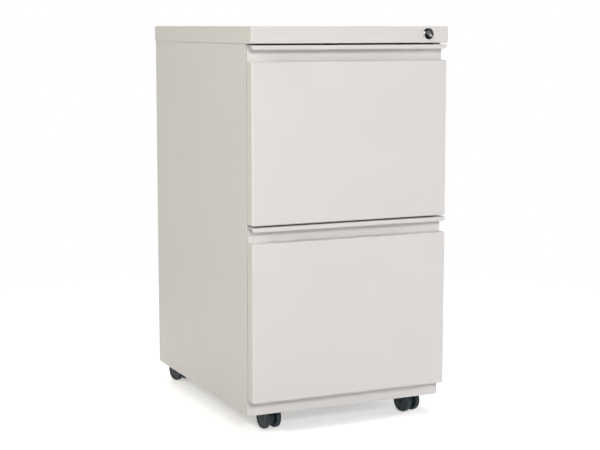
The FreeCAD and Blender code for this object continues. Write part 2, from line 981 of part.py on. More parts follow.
def tray(level, foot):
    """Folded tray: floor and two sides, with inward flanges at the front."""
    floor = foot + size("tray_rise")
    rim = floor + size("tray_height")
    pan = Body(f"Tray{level}")
    pan.add(
        "y",
        liner_back,
        tray_back,
        [
            (-tray_half, rim),
            (-tray_half, floor),
            (tray_half, floor),
            (tray_half, rim),
            (tray_inner, rim),
            (tray_inner, floor + sheet),
            (-tray_inner, floor + sheet),
            (-tray_inner, rim),
        ],
    )
    flange = size("tray_flange")
    for left, right in ((-tray_inner, -tray_inner + flange), (tray_inner - flange, tray_inner)):
        pan.add("y", liner_back, liner_back + sheet, rectangle((left, right), (floor + sheet, rim - flange)))
    lip = rectangle((-tray_inner + flange, tray_inner - flange), (floor + sheet, floor + flange))
    pan.add("y", liner_back, liner_back + sheet, lip)
    pan.soften(sheet_bend, lambda edge: runs_along(edge, "y", x=-tray_half, z=floor))
    pan.soften(sheet_bend, lambda edge: runs_along(edge, "y", x=tray_half, z=floor))
    holes = [(across * side, up) for across, up in front_screws(foot) for side in (-1, 1)]
    pan.take_round("y", liner_back - sheet, liner_back + sheet * 2, holes, screw_hole)
    centre = foot + size("runner_rise")
    side_holes = [(along, centre) for along in tray_screws]
    pan.take_round("x", -tray_half - sheet, tray_half + sheet, side_holes, screw_hole)
    return pan.body


def tray_back_plate(level, foot):
    """Back of the tray, with flanges turned forwards against its sides."""
    floor = foot + size("tray_rise") + sheet
    rim = foot + size("tray_rise") + size("tray_height") - size("tray_back_drop")
    flange = size("tray_flange")
    plate = Body(f"TrayBack{level}")
    plate.add(
        "z",
        floor,
        rim,
        [
            (-tray_inner, tray_back),
            (-tray_inner, tray_back - flange),
            (-tray_inner + sheet, tray_back - flange),
            (-tray_inner + sheet, tray_back - sheet),
            (tray_inner - sheet, tray_back - sheet),
            (tray_inner - sheet, tray_back - flange),
            (tray_inner, tray_back - flange),
            (tray_inner, tray_back),
        ],
    )
    return plate.body


def file_rail(level, foot):
    """Plastic strip clipped over a tray side, for the hooks of hanging files."""
    rim = foot + size("tray_rise") + size("tray_height")
    wall = size("file_rail_wall")
    grip = size("file_rail_grip")
    strip = Body(f"FileRail{level}")
    strip.add(
        "y",
        liner_back + sheet,
        tray_back - sheet,
        [
            (tray_inner - wall, rim - grip),
            (tray_inner, rim - grip),
            (tray_inner, rim),
            (tray_half, rim),
            (tray_half, rim - grip),
            (tray_half + wall, rim - grip),
            (tray_half + wall, rim + wall),
            (tray_inner - wall, rim + wall),
        ],
    )
    return strip.body


def latch_strike(level, foot):
    """Angle on the right side of the tray, behind the lock bar's hook."""
    back_sheet = size("strike_sheet")
    front = hook_back + size("strike_play")
    high = foot + size("hook_rise") - size("strike_drop")
    angle = Body(f"Strike{level}")
    angle.add(
        "z",
        high - size("hook_height"),
        high,
        [
            (tray_half, front),
            (tray_half + size("strike_reach"), front),
            (tray_half + size("strike_reach"), front + back_sheet),
            (tray_half + back_sheet, front + back_sheet),
            (tray_half + back_sheet, front + size("strike_length")),
            (tray_half, front + size("strike_length")),
        ],
    )
    return angle.body


def drawer_screws(level, foot):
    """Screws of the drawer's runners and of its front."""
    screws = []
    for number, along in enumerate(tray_screws):
        spot = (tray_half + runner_wall, along, foot + size("runner_rise"))
        shank = runner_wall + sheet * 2
        screws.append(screw(f"TrayScrew{level}{number}", "x", spot, -1, shank))
    for number, (across, up) in enumerate(front_screws(foot)):
        spot = (across, liner_back + sheet, up)
        screws.append(screw(f"FrontScrew{level}{number}", "y", spot, -1, sheet * 2 + size("screw_tip")))
    return pair(f"DrawerScrews{level}", *screws)


# Lock: housing in the cover's skirt, nut, plug, cam, and the bar that hooks both drawers

lock_x = place("lock_x", cover_half - size("lock_inset"))
lock_z = place("lock_z", top - size("cover_skirt") / 2)
barrel_radius = place("barrel_radius", size("barrel_diameter") / 2)
plug_radius = place("plug_radius", size("plug_diameter") / 2)
stud_radius = place("stud_radius", size("stud_diameter") / 2)
cam_front = place("cam_front", face + size("barrel_length") + size("cam_gap"))
cam_back = place("cam_back", cam_front + size("cam_thickness"))
cam_rise = place("cam_rise", sine(size("cam_angle")) * size("cam_radius"))
cam_run = place("cam_run", cosine(size("cam_angle")) * size("cam_radius"))
lock_travel = place("lock_travel", cam_rise * 2)
bar_inner = place("bar_inner", post_face + sheet + size("bar_offset"))
bar_outer = place("bar_outer", bar_inner + size("bar_thickness"))
bar_front = place("bar_front", case_front + size("bar_setback"))
bar_back = place("bar_back", bar_front + size("bar_width"))
hook_front = place("hook_front", bar_front + size("hook_setback"))
hook_back = place("hook_back", hook_front + size("bar_thickness"))


def lock_housing():
    """Chrome housing: a bezel outside the skirt and a barrel behind it, with the plug's bore."""
    bore = plug_radius + size("lock_play")
    proud = face - size("lock_proud")
    bezel = size("bezel_diameter") / 2
    housing = Body("LockHousing")
    housing.turn(
        "z",
        "V_Axis",
        [
            (bore, proud + size("bezel_edge") / 2),
            (bore + size("bezel_edge"), proud),
            (bezel - size("bezel_edge"), proud),
            (bezel, proud + size("bezel_edge")),
            (bezel, face),
            (barrel_radius, face),
            (barrel_radius, face + size("barrel_length")),
            (bore, face + size("barrel_length")),
        ],
    )
    housing.move(across=lock_x, up=lock_z)
    return housing.body


def lock_nut():
    """Hexagon nut that clamps the housing to the skirt."""
    side = size("nut_width") / 2
    corner = side / cosine(30)
    nut = Body("LockNut")
    nut.add(
        "y",
        face + sheet,
        face + sheet + size("nut_thickness"),
        [
            (corner, term(0)),
            (corner / 2, side),
            (-corner / 2, side),
            (-corner, term(0)),
            (-corner / 2, -side),
            (corner / 2, -side),
        ],
    )
    nut.take_round("y", face, face + size("nut_thickness") * 2, [(0, 0)], barrel_radius + size("lock_play"))
    nut.move(across=lock_x, up=lock_z)
    return nut.body


def lock_plug():
    """Plug with a keyway in its face and a stud behind that carries the cam."""
    front = face - size("lock_proud") + size("plug_sink")
    plug_back = face + size("barrel_length")
    plug = Body("LockPlug")
    plug.turn(
        "z",
        "V_Axis",
        [
            (0, front),
            (plug_radius, front),
            (plug_radius, plug_back),
            (stud_radius, plug_back),
            (stud_radius, cam_back),
            (0, cam_back),
        ],
    )
    half_length = size("keyway_length") / 2
    half_width = size("keyway_width") / 2
    keyway = rectangle((-half_width, half_width), (-half_length, half_length))
    plug.take("y", front, front + size("keyway_depth"), keyway)
    plug.move(across=lock_x, up=lock_z)
    plug.turn_body(FreeCAD.Vector(0, 1, 0), size("keyway_turn"))
    return plug.body


def lock_cam():
    """Crank on the plug's stud, with a pin that lifts and lowers the lock bar."""
    reach = size("pin_diameter") / 2 + size("cam_wall")
    hub = stud_radius + size("cam_wall")
    radius = size("cam_radius")
    arm = Body("LockCam")
    arm.add_round("y", cam_front, cam_back, [(0, 0)], hub)
    arm.add("y", cam_front, cam_back, rectangle((0, radius), (-reach, reach)))
    arm.add_round("y", cam_front, cam_back, [(radius, 0)], reach)
    arm.add_round("y", cam_back, cam_back + size("pin_length"), [(radius, 0)], size("pin_diameter") / 2)
    arm.take_round("y", cam_front - sheet, cam_back + sheet, [(0, 0)], stud_radius + size("lock_play"))
    arm.move(across=lock_x, up=lock_z)
    arm.turn_body(FreeCAD.Vector(0, 1, 0), -size("cam_angle"))
    return arm.body


def lock_bar():
    """Upright strip in the right front post, with a slotted tab for the cam and a hook for each drawer."""
    pin_z = lock_z + cam_rise
    slot_half = size("pin_diameter") / 2 + size("slot_play")
    tab_half = slot_half + size("tab_margin")
    tab_front = case_front + size("tab_setback")
    tab_back = tab_front + size("bar_thickness")
    tab_left = lock_x + cam_run - slot_half - size("tab_margin")
    bar = Body("LockBar")
    bar_low = lower_foot + size("hook_rise") - size("bar_foot")
    bar.add("x", bar_inner, bar_outer, rectangle((bar_front, bar_back), (bar_low, pin_z + tab_half)))
    neck = rectangle((tab_front, bar_back), (pin_z - tab_half, pin_z + tab_half))
    bar.add("x", bar_inner, bar_outer, neck)
    tab = rectangle((tab_left, bar_outer), (pin_z - tab_half, pin_z + tab_half))
    bar.add("y", tab_front, tab_back, tab)
    slot = rectangle(
        (lock_x + cam_run - slot_half, lock_x + size("cam_radius") + slot_half),
        (pin_z - slot_half, pin_z + slot_half),
    )
    bar.take("y", tab_front - sheet, tab_back + sheet, slot)
    for foot in LEVELS.values():
        low = foot + size("hook_rise")
        hook = rectangle((post_face - size("hook_reach"), bar_inner), (low, low + size("hook_height")))
        bar.add("y", hook_front, hook_back, hook)
    return bar.body


def bar_guides():
    """Plastic guides inside the post, one above each hook."""
    play = size("guide_play")
    wall = size("guide_wall")
    guides = []
    for level, foot in LEVELS.items():
        low = foot + size("hook_rise") + size("guide_rise")
        up = (low, low + size("guide_height"))
        outer = block(
            f"Guide{level}Outer",
            (post_face + sheet, bar_outer + play + wall),
            (bar_front - play - wall, bar_back + play + wall),
            up,
        )
        slot = block(
            f"Guide{level}Slot",
            (bar_inner - play, bar_outer + play),
            (bar_front - play, bar_back + play),
            (up[0] - sheet, up[1] + sheet),
        )
        guides.append(cut(f"Guide{level}", outer, [slot]))
    return group("BarGuides", guides)


# Casters: plate, kingpin, screws, swivelling housing, axle and two wheels. Each is modelled
# with its swivel axis on the origin and its wheels towards -Y, then set in its place.

wheel_radius = place("wheel_radius", size("wheel_diameter") / 2)
axle_radius = place("axle_radius", size("axle_diameter") / 2)
axle_y = place("axle_y", -size("caster_trail"))
wheel_inner = place("wheel_inner", size("wheel_gap") / 2)
wheel_outer = place("wheel_outer", wheel_inner + size("wheel_width"))
kingpin_radius = place("kingpin_radius", size("kingpin_diameter") / 2)
plate_under = place("plate_under", base_floor - size("plate_thickness"))
collar_under = place("collar_under", plate_under - size("collar_height"))
front_caster_x = place("front_caster_x", cover_half - size("front_caster_inset"))
rear_caster_x = place("rear_caster_x", cover_half - size("rear_caster_inset"))
front_caster_y = place("front_caster_y", face + size("front_caster_setback"))
rear_caster_y = place("rear_caster_y", cover_back - size("rear_caster_rear_gap"))

# name: swivel position and the angle that the caster has turned from facing forwards
CASTERS = {
    "front_left": (-front_caster_x, front_caster_y, size("front_left_heading")),
    "front_right": (front_caster_x, front_caster_y, size("front_right_heading")),
    "rear_left": (-rear_caster_x, rear_caster_y, size("rear_left_heading")),
    "rear_right": (rear_caster_x, rear_caster_y, size("rear_right_heading")),
}


def plate_holes(caster):
    """The four screws of a caster's plate."""
    across, along = caster[:2]
    half = size("plate_hole_pitch") / 2
    return [(across + half * i, along + half * k) for i in (-1, 1) for k in (-1, 1)]


def caster_plate(name, caster):
    """Square plate under the base's floor, with the kingpin's hole."""
    across, along = caster[:2]
    half = size("plate_side") / 2
    plate = Body(f"Plate{name}")
    square = rectangle((across - half, across + half), (along - half, along + half))
    plate.add("z", plate_under, base_floor, square)
    plate.take_round("z", plate_under - sheet, base_floor + sheet, plate_holes(caster), screw_hole)
    bore = kingpin_radius + size("bearing_play")
    plate.take_round("z", plate_under - sheet, base_floor + sheet, [(across, along)], bore)
    return plate.body


def caster_kingpin(name, caster):
    """Pin riveted into the plate, with a collar under it, that the housing turns on."""
    across, along = caster[:2]
    collar = size("kingpin_collar") / 2
    pin_foot = base_floor - size("kingpin_depth")
    kingpin = Body(f"Kingpin{name}")
    kingpin.turn(
        "y",
        "V_Axis",
        [
            (0, pin_foot),
            (kingpin_radius, pin_foot),
            (kingpin_radius, collar_under),
            (collar, collar_under),
            (collar, plate_under),
            (kingpin_radius, plate_under),
            (kingpin_radius, base_floor),
            (0, base_floor),
        ],
    )
    kingpin.move(across=across, along=along)
    return kingpin.body


def caster_screws(name, caster):
    shank = size("plate_thickness") + sheet + size("screw_tip")
    spots = [(across, along, plate_under) for across, along in plate_holes(caster)]
    return [screw(f"PlateScrew{name}{i}", "z", spot, 1, shank) for i, spot in enumerate(spots)]


def caster_housing(name):
    """Web between the wheels, a hood over them and the bearing of the kingpin."""
    gap = size("wheel_play")
    web_half = wheel_inner - gap
    hood_inner = wheel_radius + size("hood_gap")
    hood_outer = hood_inner + size("hood_wall")
    axle_z = wheel_radius
    tag = f"Housing{name}"
    outer = rod(tag + "Outer", "x", (-wheel_outer, axle_y, axle_z), hood_outer, wheel_outer * 2)
    past = wheel_outer + sheet
    inner = rod(tag + "Inner", "x", (-past, axle_y, axle_z), hood_inner, past * 2)
    disc = rod(tag + "Disc", "x", (-web_half, axle_y, axle_z), hood_inner, web_half * 2)
    hood = fuse(tag + "Hood", [cut(tag + "Ring", outer, [inner]), disc])
    below = block(
        tag + "Below",
        (-past, past),
        (axle_y - hood_outer * 2, axle_y + hood_outer * 2),
        (axle_z - hood_outer * 2, axle_z),
    )
    ahead = doc.addObject("Part::Box", tag + "Ahead")
    ahead.setExpression("Length", (past * 2).text)
    ahead.setExpression("Width", (hood_outer * 2).text)
    ahead.setExpression("Height", (hood_outer * 2).text)
    ahead.Placement.Rotation = FreeCAD.Rotation(FreeCAD.Vector(1, 0, 0), 90)
    ahead.setExpression("Placement.Base.x", (-past).text)
    ahead.setExpression("Placement.Base.y", axle_y.text)
    ahead.setExpression("Placement.Base.z", axle_z.text)
    ahead.setExpression("Placement.Rotation.Angle", size("hood_cut").text)
    covered = cut(tag + "Covered", hood, [below, ahead])
    boss = rod(tag + "Boss", "x", (-web_half, axle_y, axle_z), size("neck_radius"), web_half * 2)
    bearing_foot = base_floor - size("kingpin_depth") - size("bearing_floor")
    sleeve = rod(tag + "Sleeve", "z", (0, 0, bearing_foot), web_half, collar_under - gap - bearing_foot)
    whole = fuse(tag + "Whole", [covered, boss, sleeve])
    bore_start = base_floor - size("kingpin_depth") - gap
    kingpin_bore = rod(
        tag + "KingpinBore",
        "z",
        (0, 0, bore_start),
        kingpin_radius + size("bearing_play"),
        size("kingpin_depth"),
    )
    axle_bore = rod(tag + "AxleBore", "x", (-past, axle_y, axle_z), axle_radius, past * 2)
    return cut(tag, whole, [kingpin_bore, axle_bore])


def caster_axle(name):
    """Steel axle pressed through the housing, with a head at each end that keeps a wheel on."""
    head = size("axle_head") / 2
    head_start = wheel_outer - size("axle_head_height") - size("wheel_play")
    head_end = wheel_outer - size("wheel_play")
    axle = Body(f"Axle{name}")
    axle.turn(
        "z",
        "H_Axis",
        [
            (-head_end, 0),
            (-head_end, head),
            (-head_start, head),
            (-head_start, axle_radius),
            (head_start, axle_radius),
            (head_start, head),
            (head_end, head),
            (head_end, 0),
        ],
    )
    return axle.body


def caster_wheel(name, side):
    """Dished nylon wheel. Side is -1 on the left of its caster and 1 on the right."""
    bore = axle_radius + size("bearing_play")
    hub = size("wheel_hub") / 2
    rim = wheel_radius - size("wheel_rim")
    edge = size("wheel_edge")
    groove = size("wheel_groove")
    sink = wheel_outer - size("axle_head_height") - size("wheel_play") * 2
    head_room = size("axle_head") / 2 + size("wheel_play")
    dish = wheel_inner + size("wheel_dish")
    wheel = Body(f"Wheel{name}")
    corners = [
        (wheel_inner, bore),
        (wheel_inner, hub),
        (dish, hub),
        (dish, rim),
        (wheel_inner, rim),
        (wheel_inner, wheel_radius - edge / 2),
        (wheel_inner + edge / 2, wheel_radius),
        (wheel_outer - edge, wheel_radius),
        (wheel_outer, wheel_radius - edge),
        (wheel_outer, rim),
        (wheel_outer - groove, rim - groove),
        (wheel_outer - groove, hub + groove),
        (wheel_outer, hub),
        (wheel_outer, head_room),
        (sink, head_room),
        (sink, bore),
    ]
    if side < 0:
        corners = [(-across, radius) for across, radius in corners]
    wheel.turn("z", "H_Axis", corners)
    return wheel.body


def set_caster(thing, caster, on_axle):
    """Moves a caster's piece from the origin to its place, turned as the caster stands."""
    across, along, turned = caster
    angle = FreeCAD.Rotation(FreeCAD.Vector(0, 0, 1), float(turned))
    back = size("caster_trail") if on_axle else term(0)
    thing.Placement.Rotation = angle
    thing.setExpression("Placement.Rotation.Angle", turned.text)
    thing.setExpression("Placement.Base.x", (across + back * sine(turned)).text)
    thing.setExpression("Placement.Base.y", (along - back * cosine(turned)).text)
    thing.setExpression("Placement.Base.z", (wheel_radius if on_axle else term(0)).text)


# The whole cabinet

node(top_cover(), "top_cover")
right_side = node(side_panel(), "right_side_panel")
node(mirror("LeftSide", right_side), "left_side_panel")
node(back_panel(), "back_panel")
node(base_pan(), "base_pan")
front_post = post("FrontPost", post_front, front_screw, windows=True)
rear_post = post("RearPost", rear_post_front, rear_screw, windows=False)
node(pair("RunnerPosts", front_post, rear_post), "runner_posts")
node(top_front_rail(), "top_front_rail")
node(drawer_bumpers(), "drawer_bumpers")
node(counterweight(), "counterweight")
node(pair("CaseRunners", *(case_runner(*level) for level in LEVELS.items())), "case_runners")
node(runner_screws(), "case_runner_screws")

node(lock_housing(), "lock_housing")
node(lock_nut(), "lock_nut")
node(lock_plug(), "lock_plug")
node(lock_cam(), "lock_cam")
node(lock_bar(), "lock_bar")
node(bar_guides(), "lock_bar_guides")

for level, foot in LEVELS.items():
    node(front_skin(level, foot), f"{level}_front_skin")
    node(pull(level, foot), f"{level}_pull")
    node(front_liner(level, foot), f"{level}_front_liner")
    node(tray(level, foot), f"{level}_tray")
    node(tray_back_plate(level, foot), f"{level}_tray_back")
    node(pair(f"FileRails{level}", file_rail(level, foot)), f"{level}_file_rails")
    node(latch_strike(level, foot), f"{level}_latch_strike")
    node(pair(f"DrawerRunners{level}", drawer_runner(level, foot)), f"{level}_drawer_runners")
    node(drawer_screws(level, foot), f"{level}_drawer_screws")
    node(pair(f"MiddleRunners{level}", middle_runner(level, foot)), f"{level}_middle_runners")
    outer_reach = size("outer_ball_offset") + size("ball_diameter") / 2 + size("cage_margin") * 2
    outer_cage = ball_cage(
        level,
        foot,
        "Outer",
        size("outer_cage_offset"),
        outer_reach - size("outer_cage_offset"),
        size("outer_ball_offset"),
        outer_race,
    )
    inner_reach = size("inner_ball_offset") + size("ball_diameter") / 2 + size("cage_margin")
    inner_cage = ball_cage(
        level,
        foot,
        "Inner",
        size("inner_cage_offset"),
        inner_reach - size("inner_cage_offset"),
        size("inner_ball_offset"),
        middle_race,
    )
    node(pair(f"OuterCages{level}", *outer_cage), f"{level}_outer_ball_cages")
    node(pair(f"InnerCages{level}", *inner_cage), f"{level}_inner_ball_cages")

plates = []
kingpins = []
plate_screws = []
for name, caster in CASTERS.items():
    plates.append(caster_plate(name, caster))
    kingpins.append(caster_kingpin(name, caster))
    plate_screws += caster_screws(name, caster)
    housing = caster_housing(name)
    set_caster(housing, caster, on_axle=False)
    node(housing, f"{name}_caster_housing")
    axle = caster_axle(name)
    set_caster(axle, caster, on_axle=True)
    node(axle, f"{name}_caster_axle")
    for side, sign in (("left", -1), ("right", 1)):
        wheel = caster_wheel(name + side, sign)
        set_caster(wheel, caster, on_axle=True)
        node(wheel, f"{name}_wheel_{side}")
node(group("CasterPlates", plates), "caster_plates")
node(group("CasterKingpins", kingpins), "caster_kingpins")
node(group("CasterScrews", plate_screws), "caster_screws")

# Checks and files

doc.recompute()
for thing in doc.Objects:
    if "Invalid" in thing.State or "Error" in thing.State:
        raise SystemExit(f"{thing.Name} failed: {thing.State}")
for thing in nodes:
    if thing.Shape.isNull() or not thing.Shape.isValid():
        raise SystemExit(f"{thing.Label} has no valid shape")

os.makedirs("parts", exist_ok=True)
for thing in nodes:
    thing.Shape.exportStep(f"parts/{thing.Label}.step")
print(len(nodes), "sub-parts written")
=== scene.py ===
import json
import math

import bmesh
import bpy
from mathutils import Matrix, Vector


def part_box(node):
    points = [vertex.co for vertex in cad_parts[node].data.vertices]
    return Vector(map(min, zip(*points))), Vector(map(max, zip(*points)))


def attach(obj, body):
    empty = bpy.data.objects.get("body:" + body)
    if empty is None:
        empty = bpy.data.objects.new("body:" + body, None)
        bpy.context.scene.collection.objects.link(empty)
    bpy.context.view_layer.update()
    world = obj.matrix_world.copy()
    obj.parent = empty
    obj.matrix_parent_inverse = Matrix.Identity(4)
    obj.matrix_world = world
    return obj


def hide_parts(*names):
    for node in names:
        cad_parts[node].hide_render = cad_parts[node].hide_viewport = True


# Finishes and visible shells of a two drawer pedestal file cabinet on twin wheel casters.
# Lengths are in metres. Y runs from the drawer faces to the back, and Z up from the floor.

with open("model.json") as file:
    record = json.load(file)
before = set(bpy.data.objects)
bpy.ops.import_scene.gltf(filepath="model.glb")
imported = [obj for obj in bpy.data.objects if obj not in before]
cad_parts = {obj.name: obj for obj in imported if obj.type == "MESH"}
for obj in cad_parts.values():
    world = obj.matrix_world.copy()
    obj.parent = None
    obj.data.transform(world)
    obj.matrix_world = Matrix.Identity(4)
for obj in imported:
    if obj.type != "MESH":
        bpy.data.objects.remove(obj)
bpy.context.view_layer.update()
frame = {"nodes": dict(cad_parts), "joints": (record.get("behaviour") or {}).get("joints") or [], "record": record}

LEVELS = ("lower", "upper")
CORNERS = ("front_left", "front_right", "rear_left", "rear_right")

# Sheet metal
SHEET = 0.001
HAIR = SHEET / 9
SOFT_EDGE = 0.0002
FINE_EDGE = 0.00012
SHARP_ANGLE = math.radians(40)
SMOOTH_ANGLE = math.radians(50)
COVER_BEND = 0.0016
COVER_RETURN = 0.018
SIDE_BEND = 0.0014
BASE_BEND = 0.0015
BASE_RETURN = 0.014
BASE_WALL_TOP = 0.066
BASE_FLOOR_TOP = 0.051
BASE_REAR_FLANGE = 0.014
FACE_BEND = 0.003
FRONT_FLANGE = 0.022
LEDGE_DEPTH = 0.021
WELD_RADIUS = 0.0035
WELD_DEPTH = 0.00025
WELD_ROWS = 8
WELD_INSET = 0.012
WELD_MARGIN = 0.04

# Pulls
LIP_HEIGHT = 0.0073
LIP_THICKNESS = 0.0022
LIP_CORNER = 0.0055
LIP_ROUND = 0.0009
PULL_HEIGHT = 0.0275
PULL_BEND = 0.002
PULL_TAIL_INSET = 0.001

# Lock
HEAD_EDGE = 0.0011
HEAD_FRONT_RADIUS = 0.0087
HEAD_BULGE = 0.45
ROUND_STEPS = 8
CONE_RADIUS = 0.0085
CONE_DEPTH = 0.0011
BARREL_RADIUS = 0.0095
HOLE_PLAY = 0.0002
PLUG_RADIUS = 0.0074
PLUG_PLAY = 0.0001
DISH_RADIUS = 0.0062
DISH_DEPTH = 0.0017
KEYWAY_LENGTH = 0.009
KEYWAY_WIDTH = 0.002
KEYWAY_DEPTH = 0.007
KEYWAY_TURN = math.radians(-45)
WAFERS = 3
WAFER_PITCH = 0.0012
WAFER_GAP = 0.001
WAFER_STEP = 0.0005
WAFER_OVERLAP = 0.00025
WAFER_SHORT_SHARE = 0.2
WAFER_EDGE = 0.0001

# Casters
WHEEL_RADIUS = 0.020
WHEEL_INNER = 0.00575
WHEEL_OUTER = 0.01525
WHEEL_ROUND = 0.0022
WHEEL_EDGE = 0.0003
WHEEL_DISH = 0.0015
RIM_RADIUS = 0.0158
GROOVE_DEPTH = 0.001
HUB_RADIUS = 0.0065
RECESS_RADIUS = 0.0043
RECESS_DEPTH = 0.0016

joints = {joint["name"]: joint for joint in frame["joints"]}
face_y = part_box("upper_pull")[0].y
skin_x = -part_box("left_side_panel")[0].x - SHEET
plug_low, plug_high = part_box("lock_plug")
lock_x, _, lock_z = (plug_low + plug_high) / 2


# Modelling by hand: primitives, edit mode and modifiers


def take_up(piece):
    """Makes one piece the only one that is selected."""
    bpy.ops.object.select_all(action="DESELECT")
    piece.select_set(True)
    bpy.context.view_layer.objects.active = piece


def placed(name):
    """Names the new primitive and moves its place and size into its mesh."""
    piece = bpy.context.object
    piece.name = piece.data.name = name
    bpy.ops.object.transform_apply(location=True, rotation=True, scale=True)
    return piece


def block(name, low, high):
    low, high = Vector(low), Vector(high)
    bpy.ops.object.select_all(action="DESELECT")
    bpy.ops.mesh.primitive_cube_add(size=1, location=(low + high) / 2)
    bpy.context.object.scale = high - low
    return placed(name)


FACINGS = {
    "front": (math.pi / 2, 0, 0),
    "back": (math.pi / 2, 0, math.pi),
    "left": (math.pi / 2, 0, -math.pi / 2),
    "right": (math.pi / 2, 0, math.pi / 2),
    "up": (0, 0, 0),
    "down": (math.pi, 0, 0),
}


def panel(name, facing, low, high):
    """A flat sheet between two corners that share one coordinate."""
    low, high = Vector(low), Vector(high)
    span = high - low
    bpy.ops.object.select_all(action="DESELECT")
    bpy.ops.mesh.primitive_plane_add(size=1, location=(low + high) / 2, rotation=FACINGS[facing])
    if facing in ("front", "back"):
        bpy.context.object.scale = (span.x, span.z, 1)
    elif facing in ("left", "right"):
        bpy.context.object.scale = (span.y, span.z, 1)
    else:
        bpy.context.object.scale = (span.x, span.y, 1)
    return placed(name)


def rod(name, start, end, radius, sides=64):
    """A round bar between two points."""
    start, end = Vector(start), Vector(end)
    way = end - start
    turned = way.to_track_quat("Z", "Y").to_euler()
    bpy.ops.object.select_all(action="DESELECT")
    bpy.ops.mesh.primitive_cylinder_add(
        vertices=sides, radius=radius, depth=way.length, location=(start + end) / 2, rotation=turned
    )
    return placed(name)


def near(a, b):
    return abs(a - b) < 2e-5


def at(**planes):
    """A test that a point lies on the given planes, such as x=0."""
    return lambda spot: all(near(getattr(spot, axis), value) for axis, value in planes.items())


def anywhere(spot):
    return True


class Edit:
    """Edit mode on one piece, where corners, edges or faces are picked by their place."""

    def __init__(self, piece):
        self.piece = piece

    def __enter__(self):
        take_up(self.piece)
        bpy.ops.object.mode_set(mode="EDIT")
        return self

    def __exit__(self, *problem):
        bpy.ops.object.mode_set(mode="OBJECT")

    def pick(self, kind, *tests):
        """Selects each item whose corners all pass one of the tests."""
        bpy.ops.mesh.select_mode(type=kind)
        bpy.ops.mesh.select_all(action="DESELECT")
        shape = bmesh.from_edit_mesh(self.piece.data)
        items = {"VERT": shape.verts, "EDGE": shape.edges, "FACE": shape.faces}[kind]
        for item in items:
            spots = [item.co] if kind == "VERT" else [corner.co for corner in item.verts]
            if any(all(test(spot) for spot in spots) for test in tests or [anywhere]):
                item.select_set(True)
        bmesh.update_edit_mesh(self.piece.data)

    def delete(self):
        """Takes the selected faces away."""
        bpy.ops.mesh.delete(type="FACE")

    def extrude(self, x=0, y=0, z=0):
        bpy.ops.mesh.extrude_region_move(TRANSFORM_OT_translate={"value": (x, y, z)})

    def resize(self, centre, x=1, y=1, z=1):
        bpy.ops.transform.resize(value=(x, y, z), center_override=centre)

    def inset(self, thickness):
        bpy.ops.mesh.inset(thickness=thickness, use_even_offset=True)

    def slice(self, z):
        """Cuts new edges all round at one height."""
        self.pick("FACE")
        bpy.ops.mesh.bisect(plane_co=(0, 0, z), plane_no=(0, 0, 1))

    def bend(self, radius, segments=6):
        """Rounds the selected edges."""
        bpy.ops.mesh.bevel(offset=radius, segments=segments, profile=0.5, affect="EDGES")


def modified(piece, kind, **settings):
    """Adds a modifier and applies it."""
    take_up(piece)
    modifier = piece.modifiers.new(kind.title(), kind)
    for word, value in settings.items():
        setattr(modifier, word, value)
    bpy.ops.object.modifier_apply(modifier=modifier.name)
    return piece


def thicken(piece):
    """Gives a shell its wall, inwards from its outer face."""
    return modified(piece, "SOLIDIFY", thickness=SHEET, offset=-1, use_even_offset=True)


def smooth(piece):
    """Smooths the bends and keeps the flats flat."""
    take_up(piece)
    bpy.ops.object.shade_smooth_by_angle(angle=SMOOTH_ANGLE)
    return modified(piece, "WEIGHTED_NORMAL", keep_sharp=True)


def soften(piece, width=SOFT_EDGE):
    """Breaks the sharp edges."""
    modified(piece, "BEVEL", width=width, segments=2, limit_method="ANGLE", angle_limit=SHARP_ANGLE)
    return smooth(piece)


def joined(name, *parts):
    """Makes one piece of several."""
    take_up(parts[0])
    for part in parts:
        part.select_set(True)
    bpy.ops.object.join()
    parts[0].name = parts[0].data.name = name
    return parts[0]


def combine(piece, other, operation):
    """Adds another shape to a piece, or cuts it out."""
    modified(piece, "BOOLEAN", object=other, operation=operation, solver="EXACT")
    bpy.data.objects.remove(other)
    return piece


def copied(piece, name, place):
    """A copy with its own mesh, moved into its place."""
    twin = piece.copy()
    twin.data = piece.data.copy()
    twin.name = twin.data.name = name
    bpy.context.scene.collection.objects.link(twin)
    twin.data.transform(place)
    return twin


# Shader maths and nodes


class Wire:
    """A shader socket. Sums and products with it add Math nodes."""

    def __init__(self, tree, socket):
        self.tree = tree
        self.socket = socket

    def math(self, operation, *numbers):
        return self.tree.node("Math", {"operation": operation}, dict(enumerate(numbers)))

    def __add__(self, other):
        return self.math("ADD", self, other)

    def __mul__(self, other):
        return self.math("MULTIPLY", self, other)

    __radd__ = __add__
    __rmul__ = __mul__


def srgb(red, green, blue):
    """A screen colour from 0 to 1 as the shader takes it."""
    shades = (red, green, blue)
    linear = [c / 12.92 if c <= 0.04045 else ((c + 0.055) / 1.055) ** 2.4 for c in shades]
    return (*linear, 1.0)


def grey(level):
    """A grey by its share of light."""
    return (level, level, level, 1.0)


